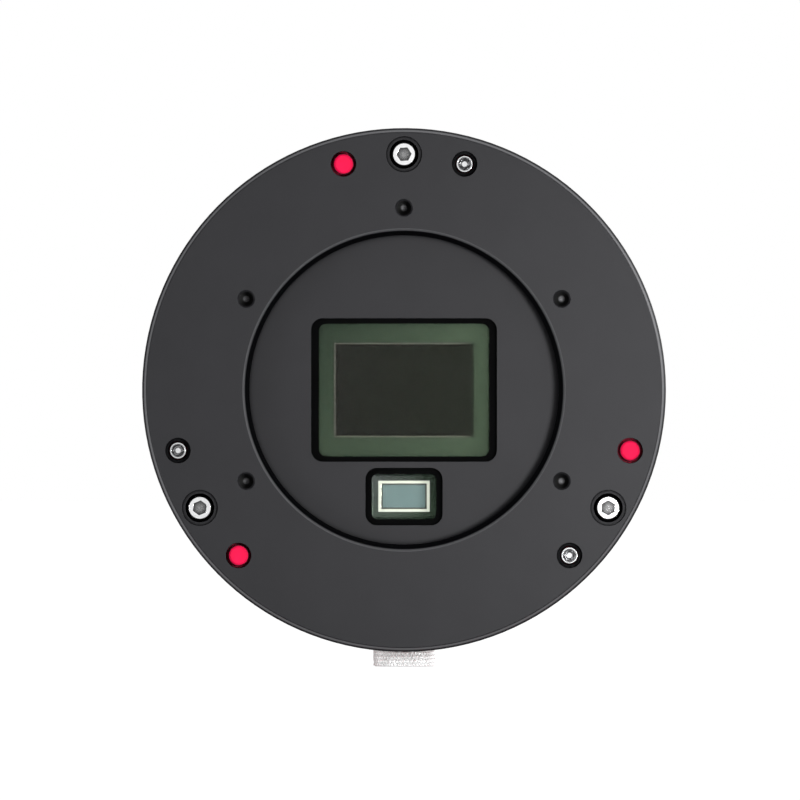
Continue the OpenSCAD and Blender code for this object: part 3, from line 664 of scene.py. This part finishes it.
def cut(mesh, cutter):
    """What is left of a mesh once the cutter's volume is taken away."""
    target = bpy.data.objects.new("cut_target", mesh)
    tool = bpy.data.objects.new("cut_tool", cutter)
    for obj in (target, tool):
        bpy.context.scene.collection.objects.link(obj)
    modifier = target.modifiers.new("cut", "BOOLEAN")
    modifier.object = tool
    modifier.operation = "DIFFERENCE"
    modifier.solver = "EXACT"
    result = bpy.data.meshes.new_from_object(target.evaluated_get(bpy.context.evaluated_depsgraph_get()))
    result.name = mesh.name
    for obj in (target, tool):
        bpy.data.objects.remove(obj)
    return result


def grid_faces(bm, rings, closed=True):
    """Quads between neighbouring rings of vertices."""
    for ring, following in zip(rings, rings[1:]):
        count = len(ring)
        for i in range(count if closed else count - 1):
            j = (i + 1) % count
            bm.faces.new((ring[i], ring[j], following[j], following[i]))


# ---- Machined detail ----

def add_helix(bm, middle, bore_r, depth, pitch, start_y, end_y, steps_per_turn):
    """A V-shaped ridge that winds along a bore, just inside it, to cut its thread."""
    inner_r, root_r = bore_r - 0.4 * depth, bore_r + depth
    half_mouth, half_root = 0.46 * pitch, 0.05 * pitch
    outline = [(inner_r, -half_mouth), (root_r, -half_root), (root_r, half_root), (inner_r, half_mouth)]
    rings = []
    for i in range(int((end_y - start_y) / pitch * steps_per_turn) + 1):
        angle = FULL_TURN * i / steps_per_turn
        y = start_y + pitch * i / steps_per_turn
        rings.append([bm.verts.new((middle[0] + r * math.cos(angle), y + dy, middle[1] + r * math.sin(angle)))
                      for r, dy in outline])
    grid_faces(bm, rings)
    bm.faces.new(rings[0])
    bm.faces.new(list(reversed(rings[-1])))


def accessory_places():
    """Middle (x, z) of each tapped hole for accessories, from the record's mounts."""
    spacing, top = MOUNTS["accessory_holes"]["dims"], MOUNTS["accessory_hole_top"]["pos_m"]
    half_x, half_z = spacing["spacing_x_mm"] / 2 * MM, spacing["spacing_y_mm"] / 2 * MM
    return [(x, z) for x in (-half_x, half_x) for z in (-half_z, half_z)] + [(top[0], top[2])]


def tilt_plate():
    """The front plate with an M54 x 0.75 thread in its bore and M3 threads in its accessory holes."""
    bore_depth, accessory_depth = 0.42 * MM, 0.25 * MM
    walls_end = PLATE_FRONT + DRILLED_DEPTH
    places = accessory_places()
    bm = bmesh.new()
    add_helix(bm, (0, 0), BORE_R, bore_depth, BORE_PITCH,
              PLATE_FRONT - BORE_PITCH, plate_high.y + BORE_PITCH, steps_per_turn=120)
    for place in places:
        add_helix(bm, place, ACCESSORY_R, accessory_depth, ACCESSORY_PITCH,
                  PLATE_FRONT - ACCESSORY_PITCH, walls_end - ACCESSORY_PITCH, steps_per_turn=32)
    mesh = cut(welded_copy("tilt_plate", "threaded_plate"), to_mesh("thread_cutter", bm))
    crisp(mesh, 25)
    add_piece("threaded_tilt_plate", mesh, "front_plate", "black_anodised", ["tilt_plate"])
    mesh.materials[0] = looks["threaded_black"]
    mesh.materials.append(looks["drill_point"])
    for face in mesh.polygons:
        deep = face.center.y > walls_end + 0.01 * MM
        if deep and any(math.hypot(face.center.x - x, face.center.z - z) < ACCESSORY_R for x, z in places):
            face.material_index = 1


def knurled_cap():
    """The desiccant cap with a diamond knurl around it: raised pyramids with flattened tops."""
    low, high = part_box("desiccant_cap")
    middle = (low + high) / 2
    cap_r, collar_r = (high.x - low.x) / 2, 3.9 * MM
    chamfer, groove = 0.18 * MM, 0.16 * MM
    end_r = cap_r - chamfer - groove * 0.5
    cap_top = low.z + 4.45 * MM
    lines, rows, fine = 50, 3, 4
    around, steps_up = lines * 2 * fine, rows * 4 * fine
    bm = bmesh.new()

    def knurl(i, j):
        """Height on the knurl, 0 down in a groove and 1 on a flattened top."""
        lean_left = abs((i + j / 2) / fine % 2 - 1)
        lean_right = abs((i - j / 2) / fine % 2 - 1)
        return min(1.0, 1.35 * min(lean_left, lean_right))

    def ring(z, radius_at):
        turns = [(radius_at(i), FULL_TURN * i / around) for i in range(around)]
        return [bm.verts.new((middle.x + r * math.cos(angle), middle.y + r * math.sin(angle), z))
                for r, angle in turns]

    rings = [ring(low.z, lambda i: end_r)]
    for j in range(steps_up + 1):
        z = low.z + chamfer + (cap_top - low.z - 2 * chamfer) * j / steps_up
        rings.append(ring(z, lambda i: cap_r - groove * (1 - knurl(i, j))))
    rings.append(ring(cap_top, lambda i: end_r))
    rings.append(ring(cap_top, lambda i: collar_r))
    rings.append(ring(high.z, lambda i: collar_r))
    grid_faces(bm, rings)
    bm.faces.new(list(reversed(rings[0])))
    bm.faces.new(rings[-1])
    solid = to_mesh("cap_solid", bm)

    # The block's middle lies on the end face, so it cuts a coin slot half its own height
    block_length, slot_width, block_height = 14 * MM, 1.2 * MM, 2 * MM
    block = bmesh.new()
    bmesh.ops.create_cube(block, size=1.0, matrix=Matrix.Translation((middle.x, middle.y, low.z))
                          @ Matrix.Diagonal((block_length, slot_width, block_height, 1)))
    mesh = cut(solid, to_mesh("slot_cutter", block))
    crisp(mesh, 30)
    add_piece("knurled_desiccant_cap", mesh, "desiccant_knob", "knurled_metal", ["desiccant_cap"])


# ---- Fan ----

def curved_fan_rotor():
    """A hub cup with swept, twisted blades in place of the plain ones."""
    low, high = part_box("fan_rotor")
    middle = centre("fan_frame")
    shaft_hole_r, hub_r, tip_r = 0.6 * MM, 11.0 * MM, 22.3 * MM
    wall, cup_floor = 1.0 * MM, 1.3 * MM
    blade_root_r = hub_r - 0.4 * MM
    root_pitch_deg, tip_pitch_deg, tip_sweep_deg = 48, 32, 16
    root_chord, tip_chord, blade_camber, half_thickness = 8.2 * MM, 10.2 * MM, 0.9 * MM, 0.5 * MM
    front, back = low.y, high.y
    blades, spans, chords, cup_steps = 7, 14, 14, 96
    bm = bmesh.new()

    def at(r, angle, y):
        return bm.verts.new((middle.x + r * math.cos(angle), y, middle.z + r * math.sin(angle)))

    cup = [(shaft_hole_r, front), (hub_r - 1.0 * MM, front), (hub_r - 0.3 * MM, front + 0.3 * MM),
           (hub_r, front + 1.0 * MM), (hub_r, back), (hub_r - wall, back), (hub_r - wall, front + cup_floor),
           (shaft_hole_r, front + cup_floor)]
    grid_faces(bm, [[at(r, FULL_TURN * i / cup_steps, y) for i in range(cup_steps)]
                    for r, y in cup + cup[:1]])

    for blade in range(blades):
        start = math.radians(90) + FULL_TURN * blade / blades
        sides = []
        for side in (-1, 1):
            rows = []
            for i in range(spans + 1):
                out = i / spans
                r = blade_root_r + (tip_r - blade_root_r) * out
                pitch = math.radians(root_pitch_deg + (tip_pitch_deg - root_pitch_deg) * out)
                sweep = math.radians(tip_sweep_deg) * out * out
                chord = root_chord + (tip_chord - root_chord) * out
                row = []
                for k in range(chords + 1):
                    along = k / chords - 0.5
                    swell = 1 - 4 * along * along
                    skin = blade_camber * swell + side * half_thickness * math.sqrt(max(0.04, swell))
                    around = along * chord * math.cos(pitch) - skin * math.sin(pitch)
                    forward = along * chord * math.sin(pitch) + skin * math.cos(pitch)
                    y = (front + back) / 2 + 0.4 * MM + forward
                    y = min(max(y, front + 0.2 * MM), back - 0.1 * MM)
                    row.append(at(r, start - sweep + around / r, y))
                rows.append(row)
            sides.append(rows)
            grid_faces(bm, rows, closed=False)
        for rim in (0, -1):
            grid_faces(bm, [sides[0][rim], sides[1][rim]], closed=False)
            grid_faces(bm, [[row[rim] for row in sides[0]], [row[rim] for row in sides[1]]], closed=False)
    mesh = to_mesh("curved_rotor", bm)
    crisp(mesh, 40)
    add_piece("curved_fan_rotor", mesh, "fan_wheel", "fan_plastic", ["fan_rotor"])


# ---- Ports ----

def port_contacts():
    """Gold contact strips on the tongues of the two USB-A ports and the USB-B port."""
    low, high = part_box("hub_ports")
    tongue_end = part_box("port_inserts")[1].y - 0.5 * MM
    wide, narrow, thick = 1.0 * MM, 0.6 * MM, 0.12 * MM
    full_length, short_length = 7 * MM, 6 * MM
    bm = bmesh.new()

    def strip(x, z, width, length):
        place = Matrix.Translation((x, tongue_end - length / 2, z))
        bmesh.ops.create_cube(bm, size=1.0, matrix=place @ Matrix.Diagonal((width, length, thick, 1)))

    half_port, type_a_pitch = 6.55 * MM, 2.3 * MM
    type_a_face = (low.z + high.z) / 2 + 2.05 * MM
    for port_x in (low.x + half_port, high.x - half_port):
        for i in range(4):
            strip(port_x + (i - 1.5) * type_a_pitch, type_a_face, wide, full_length)
    type_b, type_b_pitch, fast_pitch = centre("usb3_port"), 2.5 * MM, 1.3 * MM
    lower_faces, fast_face = (-3.26 * MM, -0.14 * MM), 1.94 * MM
    for i in range(2):
        for face in lower_faces:
            strip(type_b.x + (i - 0.5) * type_b_pitch, type_b.z + face, wide, full_length)
    for i in range(5):
        strip(type_b.x + (i - 2) * fast_pitch, type_b.z + fast_face, narrow, short_length)
    mesh = to_mesh("contacts", bm)
    add_piece("port_contacts", mesh, "camera_body", "gold")


# ---- Studio ----

def floor():
    """A pale floor under the camera, with room for the desiccant cap to come down.

    It looks near white to the lens, keeps a faint shadow, and can't be seen from below.
    """
    s = Shader("floor_white")
    soft = s.node("BsdfDiffuse", {"Color": (0.62, 0.62, 0.62)}).outputs[0]
    glow = s.node("Emission", {"Color": (1.0, 1.0, 1.0), "Strength": 1.08}).outputs[0]
    share = s.remap(s.node("LightPath").outputs["Is Camera Ray"], 0.0, 1.0, 0.05, 0.94)
    seen_from_above = s.node("MixShader", {0: share, 1: soft, 2: glow}).outputs[0]
    below = s.node("NewGeometry").outputs["Backfacing"]
    clear = s.node("BsdfTransparent").outputs[0]
    material = s.finish(s.node("MixShader", {0: below, 1: seen_from_above, 2: clear}).outputs[0])
    half = 6.0
    cap_travel = JOINTS["desiccant_lift"]["range_m"][1]
    level = cad_box[0][2] - cap_travel - 0.5 * MM
    mesh = bpy.data.meshes.new("floor")
    corners = [(-half, -half, level), (half, -half, level), (half, half, level), (-half, half, level)]
    mesh.from_pydata(corners, [], [(0, 1, 2, 3)])
    mesh.materials.append(material)
    plane = bpy.data.objects.new("floor", mesh)
    bpy.context.scene.collection.objects.link(plane)


def world():
    """White to the lens. As light, it is a dim room with soft boxes on several sides."""
    made = bpy.data.worlds.new("studio")
    bpy.context.scene.world = made
    made.use_nodes = True
    tree = made.node_tree
    tree.nodes.clear()

    def node(kind, inputs, **settings):
        item = tree.nodes.new("ShaderNode" + kind)
        for key, value in settings.items():
            setattr(item, key, value)
        for key, value in inputs.items():
            if isinstance(value, bpy.types.NodeSocket):
                tree.links.new(value, item.inputs[key])
            else:
                item.inputs[key].default_value = value
        return item

    place = node("TexCoord", {}).outputs["Generated"]

    def soft_box(towards, edge_deg, fade_deg, strength):
        """Light from the directions within an angle of one direction, with a soft edge."""
        aligned = node("VectorMath", {0: place, 1: Vector(towards).normalized()}, operation="DOT_PRODUCT")
        return node("MapRange", {"Value": aligned.outputs["Value"],
                                 "From Min": math.cos(math.radians(edge_deg + fade_deg)),
                                 "From Max": math.cos(math.radians(edge_deg)),
                                 "To Min": 0.0, "To Max": strength}).outputs[0]

    across_room = node("SeparateXYZ", {0: place}).outputs["X"]
    level = node("MapRange", {"Value": across_room, "From Min": -1.0, "From Max": 1.0,
                              "To Min": 0.34, "To Max": 0.58}).outputs[0]
    boxes = {
        "around the lens": soft_box((0.10, -1.0, 0.05), 20, 12, 0.50),
        "right of the lens": soft_box((0.55, -1.0, 0.25), 8, 14, 0.55),
        "far right": soft_box((1.0, 0.12, 0.10), 20, 12, 4.5),
        "above": soft_box((0.2, -0.2, 1.0), 24, 20, 0.8),
        "high behind": soft_box((0.4, 1.0, 0.5), 18, 20, 0.9),
        "behind": soft_box((0.1, 1.0, 0.1), 20, 20, 0.9),
    }
    for box in boxes.values():
        level = node("Math", {0: level, 1: box}).outputs[0]
    light = node("Background", {"Color": (1, 1, 1, 1), "Strength": level}).outputs[0]
    white = node("Background", {"Color": (1, 1, 1, 1), "Strength": 1.0}).outputs[0]
    camera_ray = node("LightPath", {}).outputs["Is Camera Ray"]
    shown = node("MixShader", {0: camera_ray, 1: light, 2: white}).outputs[0]
    node("OutputWorld", {"Surface": shown})


def area_light(name, place, aim, size, power):
    """A round lamp at a place, turned towards the point it aims at."""
    data = bpy.data.lights.new(name, "AREA")
    data.shape = "DISK"
    data.size = size
    data.energy = power
    lamp = bpy.data.objects.new(name, data)
    lamp.location = place
    lamp.rotation_euler = (Vector(aim) - Vector(place)).to_track_quat("-Z", "Y").to_euler()
    bpy.context.scene.collection.objects.link(lamp)


def camera():
    """A long lens straight in front of the plate. Its field is the width seen at the plate's face."""
    distance, field = 3.0, 137.4 * MM
    aim = Vector((-0.69 * MM, 0.0, -1.72 * MM))
    data = bpy.data.cameras.new("lens")
    data.sensor_width = 36
    data.lens = data.sensor_width * distance / field
    data.clip_start = 0.01
    eye = bpy.data.objects.new("camera", data)
    eye.location = aim - Vector((0, distance, 0))
    eye.rotation_euler = (math.radians(90), 0, 0)
    bpy.context.scene.collection.objects.link(eye)
    bpy.context.scene.camera = eye


paint_cad_nodes()
tilt_plate()
knurled_cap()
curved_fan_rotor()
port_contacts()

floor()
world()
area_light("key", place=(0.10, -0.30, -0.01), aim=(0, 0, 0), size=0.07, power=0.70)
area_light("cap_fill", place=(-0.22, -0.16, -0.02), aim=centre("desiccant_cap"), size=0.10, power=0.30)
camera()
bpy.context.scene.view_settings.view_transform = "Standard"
